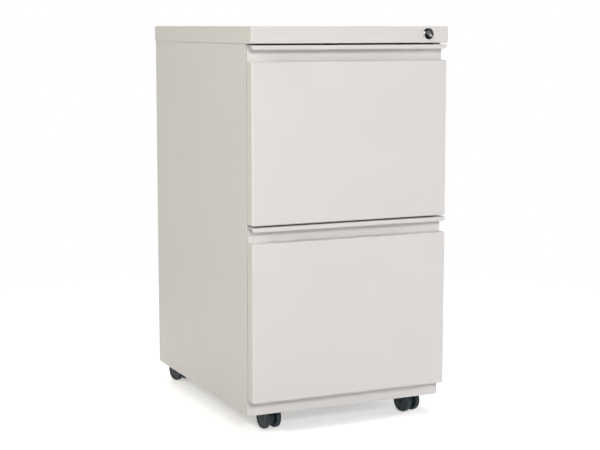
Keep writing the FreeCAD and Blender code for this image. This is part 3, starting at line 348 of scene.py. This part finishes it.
class Tree:
    """The nodes of a material or of the world."""

    def __init__(self, owner):
        self.owner = owner
        owner.use_nodes = True
        self.nodes = owner.node_tree.nodes
        self.links = owner.node_tree.links
        self.nodes.clear()

    def node(self, kind, settings=None, inputs=None, output=0):
        """One node with its settings, then the values or links of its sockets."""
        made = self.nodes.new("ShaderNode" + kind)
        for word, value in (settings or {}).items():
            setattr(made, word, value)
        for word, value in (inputs or {}).items():
            if isinstance(value, Wire):
                self.links.new(value.socket, made.inputs[word])
            else:
                made.inputs[word].default_value = value
        return Wire(self, made.outputs[output] if len(made.outputs) else None)

    def place(self, stretch=(1, 1, 1)):
        """Object coordinates, drawn out or squeezed along the axes."""
        spot = self.node("TexCoord", output="Object")
        if stretch == (1, 1, 1):
            return spot
        return self.node("Mapping", inputs={"Vector": spot, "Scale": stretch})

    def noise(self, lump, detail=2.0, stretch=(1, 1, 1)):
        """Cloudy noise from 0 to 1 with lumps of this length."""
        inputs = {"Vector": self.place(stretch), "Scale": 1 / lump, "Detail": detail}
        return self.node("TexNoise", inputs=inputs)

    def between(self, value, low, high):
        """0 below the low level, 1 above the high one."""
        return self.node("MapRange", inputs={"Value": value, "From Min": low, "From Max": high})

    def mix(self, share, one, other):
        """A colour between two."""
        settings = {"data_type": "RGBA"}
        return self.node("Mix", settings, {0: share, 6: one, 7: other}, output=2)

    def bump(self, height, depth, under=None):
        """Raises the surface by up to this depth, over another bump where one is given."""
        inputs = {"Height": height, "Distance": depth}
        if under:
            inputs["Normal"] = under
        return self.node("Bump", inputs=inputs)

    def principled(self, inputs):
        """Closes a material and hands it back."""
        self.node("OutputMaterial", inputs={"Surface": self.node("BsdfPrincipled", inputs=inputs)})
        return self.owner


def finish(name):
    return Tree(bpy.data.materials.new(name))


def powder_coat():
    """Warm light grey powder coat with a fine orange peel."""
    tree = finish("painted_steel")
    cloud = tree.between(tree.noise(lump=0.11, detail=3), low=0.3, high=0.7)
    peel = tree.bump(tree.noise(lump=0.0016, detail=1), depth=0.00003)
    waves = tree.bump(tree.noise(lump=0.06, detail=1), depth=0.00025, under=peel)
    colour = tree.mix(cloud, srgb(0.876, 0.872, 0.868), srgb(0.884, 0.881, 0.878))
    return tree.principled({"Base Color": colour, "Roughness": 0.4 + 0.07 * cloud, "Normal": waves})


def zinc():
    """Galvanised steel with a faint spangle."""
    tree = finish("zinc_steel")
    inputs = {"Vector": tree.place(), "Scale": 160.0}
    spangle = tree.node("TexVoronoi", inputs=inputs, output="Color")
    flake = tree.node("SeparateColor", inputs={"Color": spangle})
    drawn = tree.noise(lump=0.004, detail=2, stretch=(1, 0.05, 1))
    colour = tree.mix(flake, srgb(0.66, 0.67, 0.68), srgb(0.78, 0.79, 0.8))
    inputs = {"Base Color": colour, "Roughness": 0.3 + 0.12 * flake, "Metallic": 1.0}
    inputs["Normal"] = tree.bump(drawn, depth=0.00002)
    return tree.principled(inputs)


def cast_iron():
    """Grey iron with sand grain."""
    tree = finish("cast_weight")
    grain = tree.noise(lump=0.0015, detail=4)
    patch = tree.between(tree.noise(lump=0.03, detail=3), low=0.35, high=0.65)
    colour = tree.mix(patch, srgb(0.17, 0.17, 0.175), srgb(0.24, 0.235, 0.23))
    inputs = {"Base Color": colour, "Roughness": 0.7 + 0.1 * patch, "Metallic": 0.3}
    inputs["Normal"] = tree.bump(grain, depth=0.0004)
    return tree.principled(inputs)


def bright_steel(name, dark, light, rough):
    """Plated or turned steel with fine marks."""
    tree = finish(name)
    marks = tree.noise(lump=0.0012, detail=3)
    smudge = tree.between(tree.noise(lump=0.015, detail=2), low=0.35, high=0.65)
    colour = tree.mix(smudge, dark, light)
    inputs = {"Base Color": colour, "Roughness": rough + 0.06 * smudge, "Metallic": 1.0}
    inputs["Normal"] = tree.bump(marks, depth=0.00001)
    return tree.principled(inputs)


def rubber():
    """Black rubber with a little dust."""
    tree = finish("rubber")
    dust = tree.between(tree.noise(lump=0.004, detail=4), low=0.4, high=0.7)
    colour = tree.mix(dust, srgb(0.11, 0.11, 0.11), srgb(0.17, 0.17, 0.165))
    inputs = {"Base Color": colour, "Roughness": 0.75 + 0.1 * dust}
    inputs["Normal"] = tree.bump(tree.noise(lump=0.0005, detail=2), depth=0.00004)
    return tree.principled(inputs)


def moulded(name, dark, light, rough, grain):
    """Moulded plastic with a fine spark grain and a few rubbed patches."""
    tree = finish(name)
    rubbed = tree.between(tree.noise(lump=0.009, detail=3), low=0.35, high=0.7)
    colour = tree.mix(rubbed, dark, light)
    inputs = {"Base Color": colour, "Roughness": rough + 0.12 * rubbed}
    inputs["Normal"] = tree.bump(tree.noise(lump=0.0006, detail=2), depth=grain)
    return tree.principled(inputs)


FINISHES = {
    "painted_steel": powder_coat(),
    "zinc_steel": zinc(),
    "cast_weight": cast_iron(),
    "screw_steel": bright_steel("screw_steel", srgb(0.6, 0.6, 0.6), srgb(0.72, 0.72, 0.72), 0.28),
    "rubber": rubber(),
    "lock_chrome": bright_steel("lock_chrome", srgb(0.72, 0.72, 0.73), srgb(0.8, 0.8, 0.8), 0.08),
    "lock_steel": bright_steel("lock_steel", srgb(0.66, 0.66, 0.66), srgb(0.76, 0.76, 0.75), 0.26),
    "lock_plug": bright_steel("lock_plug", srgb(0.16, 0.16, 0.16), srgb(0.22, 0.22, 0.22), 0.22),
    "rail_plastic": moulded("rail_plastic", srgb(0.16, 0.16, 0.165), srgb(0.2, 0.2, 0.2), 0.42, 0.00002),
    "caster_steel": bright_steel("caster_steel", srgb(0.5, 0.5, 0.49), srgb(0.62, 0.62, 0.6), 0.3),
    "caster_plastic": moulded(
        "caster_plastic", srgb(0.045, 0.105, 0.112), srgb(0.07, 0.142, 0.15), 0.48, 0.00003
    ),
    "wheel_nylon": moulded(
        "wheel_nylon", srgb(0.05, 0.118, 0.126), srgb(0.075, 0.155, 0.166), 0.46, 0.00003
    ),
}
# Chrome coloured dark for the lock's cone and bore: a painted dark reflection and painted shade in the throat, not
# a real black finish.
throat_painted_shade_and_reflection = bright_steel("throat_painted_shade_and_reflection", srgb(0.2, 0.2, 0.2), srgb(0.27, 0.27, 0.27), 0.4)
dark_chrome = bright_steel("dark_chrome", srgb(0.36, 0.36, 0.36), srgb(0.44, 0.44, 0.435), 0.3)
wafer_nickel = bright_steel("wafer_nickel", srgb(0.6, 0.59, 0.55), srgb(0.7, 0.69, 0.66), 0.25)
black_oxide = bright_steel("black_oxide", srgb(0.13, 0.14, 0.14), srgb(0.19, 0.2, 0.2), 0.34)


def second_finish(piece, material, chosen):
    """Gives the faces that pass the test another material."""
    piece.data.materials.append(material)
    for face in piece.data.polygons:
        if chosen(face):
            face.material_index = len(piece.data.materials) - 1


def fitted(piece, body, slot, *nodes):
    """Hands a finished piece to the body that it rides on, in place of its CAD nodes."""
    piece.data.materials.clear()
    piece.data.materials.append(FINISHES[slot])
    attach(piece, body)
    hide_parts(*nodes)
    return piece


# The case


def make_cover():
    """Top cover: a pan with a folded skirt and a return at its front foot."""
    low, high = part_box("top_cover")
    cover = block("cover_shell", low, high)
    corners = [at(x=x, y=y) for x in (low.x, high.x) for y in (low.y, high.y)]
    with Edit(cover) as edit:
        edit.pick("FACE", at(z=low.z))
        edit.delete()
        edit.pick("EDGE", at(z=high.z), *corners)
        edit.bend(COVER_BEND)
        edit.pick("EDGE", at(y=low.y, z=low.z))
        edit.extrude(y=COVER_RETURN)
        edit.pick("EDGE", at(y=low.y, z=low.z))
        edit.bend(COVER_BEND)
    thicken(cover)
    front, back = (lock_x, low.y - SHEET, lock_z), (lock_x, low.y + SHEET * 2, lock_z)
    combine(cover, rod("lock_hole", front, back, BARREL_RADIUS + HOLE_PLAY), "DIFFERENCE")
    soften(cover)
    fitted(cover, "case", "painted_steel", "top_cover")


def make_side(node, facing):
    """Side panel with a return behind the drawer fronts."""
    low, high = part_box(node)
    outer, inward = (low.x, 1) if facing == "left" else (high.x, -1)
    side = panel(node + "_shell", facing, (outer, low.y, low.z), (outer, high.y, high.z))

    def upper_front(spot):
        """The outer front edge above the base."""
        return near(spot.y, low.y) and near(spot.x, outer) and spot.z > BASE_WALL_TOP - HAIR

    with Edit(side) as edit:
        edit.slice(z=BASE_WALL_TOP)
        edit.pick("EDGE", upper_front)
        edit.extrude(x=inward * (high.x - low.x))
        edit.pick("EDGE", upper_front)
        edit.bend(SIDE_BEND)
    thicken(side)
    soften(side)
    fitted(side, "case", "painted_steel", node)


def make_back():
    """Back panel with the marks of its spot welds."""
    low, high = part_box("back_panel")
    back = panel("back_shell", "back", (low.x, high.y, low.z), (high.x, high.y, high.z))
    thicken(back)
    span = high.z - low.z - WELD_MARGIN * 2
    marks = []
    for x in (low.x + WELD_INSET, high.x - WELD_INSET):
        for row in range(WELD_ROWS):
            z = low.z + WELD_MARGIN + span * row / (WELD_ROWS - 1)
            start, end = (x, high.y - WELD_DEPTH, z), (x, high.y + SHEET, z)
            marks.append(rod("mark", start, end, WELD_RADIUS, sides=20))
    combine(back, joined("marks", *marks), "DIFFERENCE")
    soften(back, FINE_EDGE)
    fitted(back, "case", "painted_steel", "back_panel")


def make_base():
    """Base: its front wall under the drawers, and the floor that the casters are screwed to."""
    low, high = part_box("base_pan")
    wall = panel("base_wall", "front", (-skin_x, low.y, low.z), (skin_x, low.y, BASE_WALL_TOP))
    with Edit(wall) as edit:
        edit.pick("EDGE", at(z=BASE_WALL_TOP))
        edit.extrude(y=BASE_RETURN)
        edit.pick("EDGE", at(y=low.y, z=BASE_WALL_TOP))
        edit.bend(BASE_BEND)
    thicken(wall)
    under = BASE_FLOOR_TOP - SHEET
    floor = panel("base_floor", "down", (-skin_x, low.y + SHEET, under), (skin_x, high.y, under))
    with Edit(floor) as edit:
        edit.pick("EDGE", at(y=high.y))
        edit.extrude(z=BASE_REAR_FLANGE)
        edit.pick("EDGE", at(y=high.y, z=under))
        edit.bend(BASE_BEND)
    thicken(floor)
    base = soften(joined("base_shell", wall, floor))
    fitted(base, "case", "painted_steel", "base_pan")


# The drawers


def make_front(level):
    """Drawer front: one pan whose sides are folded back, then in, with an open ledge on top."""
    node = level + "_front_skin"
    low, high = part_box(node)
    skin = block(level + "_front_shell", low, high)
    depths = [at(x=x, z=z) for x in (low.x, high.x) for z in (low.z, high.z)]
    rims = [at(y=low.y, x=low.x), at(y=low.y, x=high.x), at(y=low.y, z=low.z), at(y=low.y, z=high.z)]

    def upper_flange(spot):
        return near(spot.y, high.y) and spot.z > high.z - FRONT_FLANGE - SHEET

    with Edit(skin) as edit:
        edit.pick("FACE", at(y=high.y))
        edit.inset(FRONT_FLANGE)
        edit.delete()
        edit.pick("FACE", upper_flange)
        edit.delete()
        edit.pick("EDGE", *depths, *rims)
        edit.bend(FACE_BEND)
    thicken(skin)
    clear_low = (low.x - SHEET, low.y + LEDGE_DEPTH, high.z - SHEET * 4)
    clear_high = (high.x + SHEET, high.y + SHEET, high.z + SHEET)
    combine(skin, block("clear", clear_low, clear_high), "DIFFERENCE")
    soften(skin)
    fitted(skin, level + "_drawer", "painted_steel", node)


def make_pull(level):
    """Pull: a hemmed lip in the plane of the faces, a shelf, and a web down behind the ledge."""
    node = level + "_pull"
    low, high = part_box(node)
    foot, lip_back = high.z - LIP_HEIGHT, low.y + LIP_THICKNESS
    web_front, web_back = high.y - SHEET, high.y
    shelf_under = high.z - SHEET
    ledge = high.z - PULL_HEIGHT
    rounded = foot + LIP_CORNER + HAIR
    pull = block(level + "_pull_shell", (low.x, low.y, foot), (high.x, lip_back, high.z))

    def shelf_start(spot):
        return near(spot.y, lip_back) and spot.z > shelf_under - HAIR

    def web_start(spot):
        return near(spot.z, shelf_under) and spot.y > web_front - HAIR

    def front_foot(spot):
        return near(spot.y, low.y) and spot.z < rounded

    def back_foot(spot):
        return near(spot.y, lip_back) and spot.z < rounded

    lip_sides = [at(y=low.y, x=x) for x in (low.x, high.x)]
    with Edit(pull) as edit:
        edit.slice(z=shelf_under)
        edit.pick("FACE", shelf_start)
        edit.extrude(y=web_front - lip_back)
        edit.extrude(y=SHEET)
        edit.pick("FACE", web_start)
        edit.extrude(z=ledge - shelf_under)
        edit.extrude()
        edit.resize((0, 0, 0), x=1 - PULL_TAIL_INSET / high.x)
        edit.extrude(z=low.z - ledge)
        edit.pick("EDGE", at(x=low.x, z=foot), at(x=high.x, z=foot))
        edit.bend(LIP_CORNER, segments=8)
        edit.pick("EDGE", at(y=web_back, z=high.z))
        edit.bend(PULL_BEND)
        edit.pick("EDGE", at(y=web_front, z=shelf_under))
        edit.bend(PULL_BEND - SHEET)
        edit.pick("EDGE", at(y=low.y, z=high.z), front_foot, back_foot, *lip_sides)
        edit.bend(LIP_ROUND, segments=4)
    soften(pull)
    fitted(pull, level + "_drawer", "painted_steel", node)


# The lock


def crown(edit, centre, start, end):
    """Steps the picked disc from one radius and depth to another along a slightly bulged slope."""
    reach, y = start
    for step in range(1, ROUND_STEPS + 1):
        part = step / ROUND_STEPS
        rise = part * (1 + HEAD_BULGE * (1 - part))
        next_reach = start[0] + (end[0] - start[0]) * part
        next_y = start[1] + (end[1] - start[1]) * rise
        edit.extrude(y=next_y - y)
        edit.resize(centre, x=next_reach / reach, z=next_reach / reach)
        reach, y = next_reach, next_y


def off_axis(spot):
    """How far a point is from the lock's axis."""
    return math.hypot(spot.x - lock_x, spot.z - lock_z)


def make_lock_head():
    """Chrome head with a sloped rim and a cone that leads down to the plug; the cone is coloured dark as a painted
    dark reflection.
    """
    low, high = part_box("lock_housing")
    front, back = low.y, high.y
    radius = high.x - lock_x
    edge = face_y - HEAD_EDGE
    centre = (lock_x, front, lock_z)
    narrowing = (PLUG_RADIUS + PLUG_PLAY) / CONE_RADIUS
    head = rod("lock_head", (lock_x, edge, lock_z), (lock_x, face_y, lock_z), radius, sides=96)
    with Edit(head) as edit:
        edit.pick("FACE", at(y=edge))
        crown(edit, centre, (radius, edge), (HEAD_FRONT_RADIUS, front))
        edit.inset(HEAD_FRONT_RADIUS - CONE_RADIUS)
        edit.extrude(y=CONE_DEPTH)
        edit.resize(centre, x=narrowing, z=narrowing)
        edit.extrude(y=back - front - CONE_DEPTH - SHEET)
        edit.pick("FACE", at(y=face_y))
        edit.inset(radius - BARREL_RADIUS)
        edit.extrude(y=back - face_y)
    smooth(head)
    fitted(head, "case", "lock_chrome", "lock_housing")

    def in_throat(face):
        """The cone and the bore behind it, coloured dark as painted shade and painted dark reflection."""
        return off_axis(face.center) < CONE_RADIUS and face.center.y > front + HAIR

    # The throat gets the darkened chrome as painted shade and painted dark reflection.
    second_finish(head, throat_painted_shade_and_reflection, in_throat)


def make_wafers(plug_face, turned):
    """The edges of the wafers that show in the keyway, each a little shorter than the one before."""
    half = KEYWAY_WIDTH / 2 + WAFER_OVERLAP
    wafers = []
    for row in range(WAFERS):
        y = plug_face + DISH_DEPTH + WAFER_PITCH * row
        reach = KEYWAY_LENGTH / 2 - WAFER_GAP - WAFER_STEP * row
        low = (-reach * WAFER_SHORT_SHARE, y, -half)
        high = (reach, y + WAFER_PITCH / 2, half)
        wafer = block("wafer", low, high)
        wafer.data.transform(turned)
        wafers.append(soften(wafer, WAFER_EDGE))
    return wafers


def make_lock_plug():
    """Plug with a dished face, a slanting keyway and its wafers."""
    front, back = plug_low.y, plug_high.y
    centre = (lock_x, front, lock_z)
    plug = rod("lock_key_plug", centre, (lock_x, back, lock_z), PLUG_RADIUS, sides=72)
    with Edit(plug) as edit:
        edit.pick("FACE", at(y=front))
        edit.inset(PLUG_RADIUS - DISH_RADIUS)
        reach, depth = DISH_RADIUS, 0
        for step in range(ROUND_STEPS - 1, 0, -1):
            next_reach = DISH_RADIUS * step / ROUND_STEPS
            next_depth = DISH_DEPTH * (1 - (step / ROUND_STEPS) ** 2)
            edit.extrude(y=next_depth - depth)
            edit.resize(centre, x=next_reach / reach, z=next_reach / reach)
            reach, depth = next_reach, next_depth
    keyway = block(
        "keyway",
        (-KEYWAY_LENGTH / 2, front - SHEET, -KEYWAY_WIDTH / 2),
        (KEYWAY_LENGTH / 2, front + KEYWAY_DEPTH, KEYWAY_WIDTH / 2),
    )
    turned = Matrix.Translation((lock_x, 0, lock_z)) @ Matrix.Rotation(KEYWAY_TURN, 4, "Y")
    keyway.data.transform(turned)
    combine(plug, keyway, "DIFFERENCE")
    soften(plug, FINE_EDGE)
    wafers = make_wafers(front, turned)
    plug_faces = len(plug.data.polygons)
    joined("lock_key_plug", plug, *wafers)
    fitted(plug, "lock_plug", "lock_plug", "lock_plug")

    def in_dish(face):
        y = face.center.y - front
        return off_axis(face.center) < DISH_RADIUS and HAIR / 2 < y < DISH_DEPTH + HAIR

    def on_wafer(face):
        return face.index >= plug_faces

    second_finish(plug, dark_chrome, in_dish)
    second_finish(plug, wafer_nickel, on_wafer)


# The casters


def make_wheel():
    """One dished wheel about the X axis, on the +X side of its caster."""
    wheel = rod("wheel", (WHEEL_INNER, 0, 0), (WHEEL_OUTER, 0, 0), WHEEL_RADIUS, sides=72)
    cap = WHEEL_RADIUS - WHEEL_ROUND
    groove_outer = RIM_RADIUS - GROOVE_DEPTH
    groove_inner = HUB_RADIUS + GROOVE_DEPTH
    centre = (0, 0, 0)
    with Edit(wheel) as edit:
        edit.pick("EDGE", at(x=WHEEL_INNER), at(x=WHEEL_OUTER))
        edit.bend(WHEEL_ROUND)
        edit.pick("FACE", at(x=WHEEL_OUTER))
        edit.inset(cap - RIM_RADIUS)
        edit.extrude(x=-GROOVE_DEPTH)
        edit.resize(centre, y=groove_outer / RIM_RADIUS, z=groove_outer / RIM_RADIUS)
        edit.inset(groove_outer - groove_inner)
        edit.extrude(x=GROOVE_DEPTH)
        edit.resize(centre, y=HUB_RADIUS / groove_inner, z=HUB_RADIUS / groove_inner)
        edit.inset(HUB_RADIUS - RECESS_RADIUS)
        edit.extrude(x=-RECESS_DEPTH)
        edit.pick("FACE", at(x=WHEEL_INNER))
        edit.inset(cap - RIM_RADIUS)
        edit.extrude(x=WHEEL_DISH)
        edit.inset(RIM_RADIUS - HUB_RADIUS)
        edit.extrude(x=-WHEEL_DISH)
    return soften(wheel, WHEEL_EDGE)


def make_casters():
    """Eight wheels from one, each turned to the heading of its caster."""
    wheel = make_wheel()
    for corner in CORNERS:
        for side in ("left", "right"):
            node = f"{corner}_wheel_{side}"
            joint = joints[node + "_spin"]
            centre, axis = Vector(joint["pos_m"]), Vector(joint["axis"])
            low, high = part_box(node)
            outward = axis if ((low + high) / 2 - centre).dot(axis) > 0 else -axis
            turn = Matrix.Rotation(math.atan2(outward.y, outward.x), 4, "Z")
            twin = copied(wheel, node + "_shell", Matrix.Translation(centre) @ turn)
            fitted(twin, node, "wheel_nylon", node)
    bpy.data.objects.remove(wheel)


make_cover()
make_side("left_side_panel", "left")
make_side("right_side_panel", "right")
make_back()
make_base()
for level in LEVELS:
    make_front(level)
    make_pull(level)
make_lock_head()
make_lock_plug()
make_casters()

slot_of = {part["node"]: part["material_slot"] for part in frame["record"]["subparts"]}
for name, node in frame["nodes"].items():
    for slot in node.material_slots:
        slot.material = black_oxide if name.endswith("_axle") else FINISHES[slot_of[name]]


# The studio

# Gloss looks into the dark where its ray points far enough this way
DARK_WAY = (0.6, 0.3, 1)
DARK_FROM = 0.08
DARK_FULL = 0.16
CEILING_LIGHT = 0.02
AMBIENT_LIGHT = 0.12
FLOOR_HALF = 6
FLOOR_SHADE = 0.86
FLOOR_GLOW = 0.45
UNSEEN_FLOOR_SHADE = 0.55
FADE_FROM = 0.6
FADE_FULL = 1.4
CAMERA_PLACE = (-1.12, -2.4695, 0.705)
CAMERA_YAW = math.radians(24.63)
CAMERA_PITCH = math.radians(6.7)
CAMERA_LENS = 86.3
CAMERA_SHIFT = -0.05


def make_world():
    """Soft light all round. The camera sees plain white, and gloss white walls under a dark ceiling."""
    world = bpy.data.worlds.new("studio")
    bpy.context.scene.world = world
    tree = Tree(world)
    way = tree.node("TexCoord", output="Generated")
    rise = tree.node("VectorMath", {"operation": "DOT_PRODUCT"}, {0: way, 1: DARK_WAY}, output=1)
    room = tree.mix(tree.between(rise, low=DARK_FROM, high=DARK_FULL), grey(1), grey(CEILING_LIGHT))
    ambient = tree.node("Background", inputs={"Color": grey(AMBIENT_LIGHT)})
    white = tree.node("Background", inputs={"Color": grey(1)})
    walls = tree.node("Background", inputs={"Color": room})
    lit = tree.node("MixShader", inputs={0: seen(tree), 1: ambient, 2: white})
    gloss = tree.node("LightPath", output="Is Glossy Ray")
    surface = tree.node("MixShader", inputs={0: gloss, 1: lit, 2: walls})
    tree.node("OutputWorld", inputs={"Surface": surface})


def seen(tree):
    """1 for rays of the camera, of gloss and of glass."""
    kinds = ("Camera", "Glossy", "Transmission")
    camera, gloss, glass = [tree.node("LightPath", output=f"Is {kind} Ray") for kind in kinds]
    return camera.math("MAXIMUM", camera.math("MAXIMUM", camera, gloss), glass)


def make_floor():
    """White floor that keeps the cabinet's shadow and fades into the white round it."""
    floor = panel("floor", "up", (-FLOOR_HALF, -FLOOR_HALF, 0), (FLOOR_HALF, FLOOR_HALF, 0))
    tree = finish("floor")
    plain = tree.node("BsdfDiffuse", inputs={"Color": grey(FLOOR_SHADE)})
    soft = tree.node("BsdfDiffuse", inputs={"Color": grey(UNSEEN_FLOOR_SHADE)})
    glow = tree.node("Emission", inputs={"Color": grey(1), "Strength": FLOOR_GLOW})
    white = tree.node("Emission", inputs={"Color": grey(1), "Strength": 1.0})
    lit = tree.node("AddShader", inputs={0: plain, 1: glow})
    reach = tree.node("VectorMath", {"operation": "LENGTH"}, {0: tree.place()}, output=1)
    fade = tree.between(reach, low=FADE_FROM, high=FADE_FULL)
    faded = tree.node("MixShader", inputs={0: fade, 1: lit, 2: white})
    surface = tree.node("MixShader", inputs={0: seen(tree), 1: soft, 2: faded})
    tree.node("OutputMaterial", inputs={"Surface": surface})
    floor.data.materials.append(tree.owner)


def area_light(name, place, target, size, power, tint=(1, 1, 1), mirrored=True):
    """A round lamp that faces its target. Gloss shows it only where it is mirrored."""
    lamp = bpy.data.lights.new(name, "AREA")
    lamp.shape = "DISK"
    lamp.size = size
    lamp.energy = power
    lamp.color = tint
    stand = bpy.data.objects.new(name, lamp)
    stand.visible_glossy = mirrored
    stand.location = place
    stand.rotation_euler = (Vector(target) - Vector(place)).to_track_quat("-Z", "Y").to_euler()
    bpy.context.scene.collection.objects.link(stand)


def make_camera():
    """Stands to the left of the front, level with the cover, and looks a little down."""
    lens = bpy.data.cameras.new("camera")
    lens.lens = CAMERA_LENS
    lens.shift_y = CAMERA_SHIFT
    camera = bpy.data.objects.new("camera", lens)
    camera.location = CAMERA_PLACE
    camera.rotation_euler = (math.pi / 2 - CAMERA_PITCH, 0, -CAMERA_YAW)
    bpy.context.scene.collection.objects.link(camera)
    bpy.context.scene.camera = camera


make_world()
make_floor()
area_light("key", (-0.6, -3.0, 1.55), (0, 0, 0.4), size=0.8, power=44.8, tint=(0.985, 0.995, 1))
area_light(
    "low_front", (0.2, -2.4, 0.3), (0, 0, 0.2), size=0.8, power=7, tint=(1, 0.82, 0.79), mirrored=False
)
area_light("left", (-2.2, -0.5, 2.0), (0, 0, 0.4), size=1.0, power=33, tint=(1, 0.94, 0.785))
area_light("overhead", (0.5, 0.4, 2.6), (0, 0, 0.3), size=1.6, power=22, mirrored=False)
area_light("right", (3.0, -0.4, 1.2), (0, 0, 0.4), size=1.2, power=42, mirrored=False)
area_light("back", (0.6, 3.2, 1.8), (0, 0, 0.4), size=1.8, power=62, mirrored=False)
make_camera()
bpy.context.scene.view_settings.view_transform = "Standard"
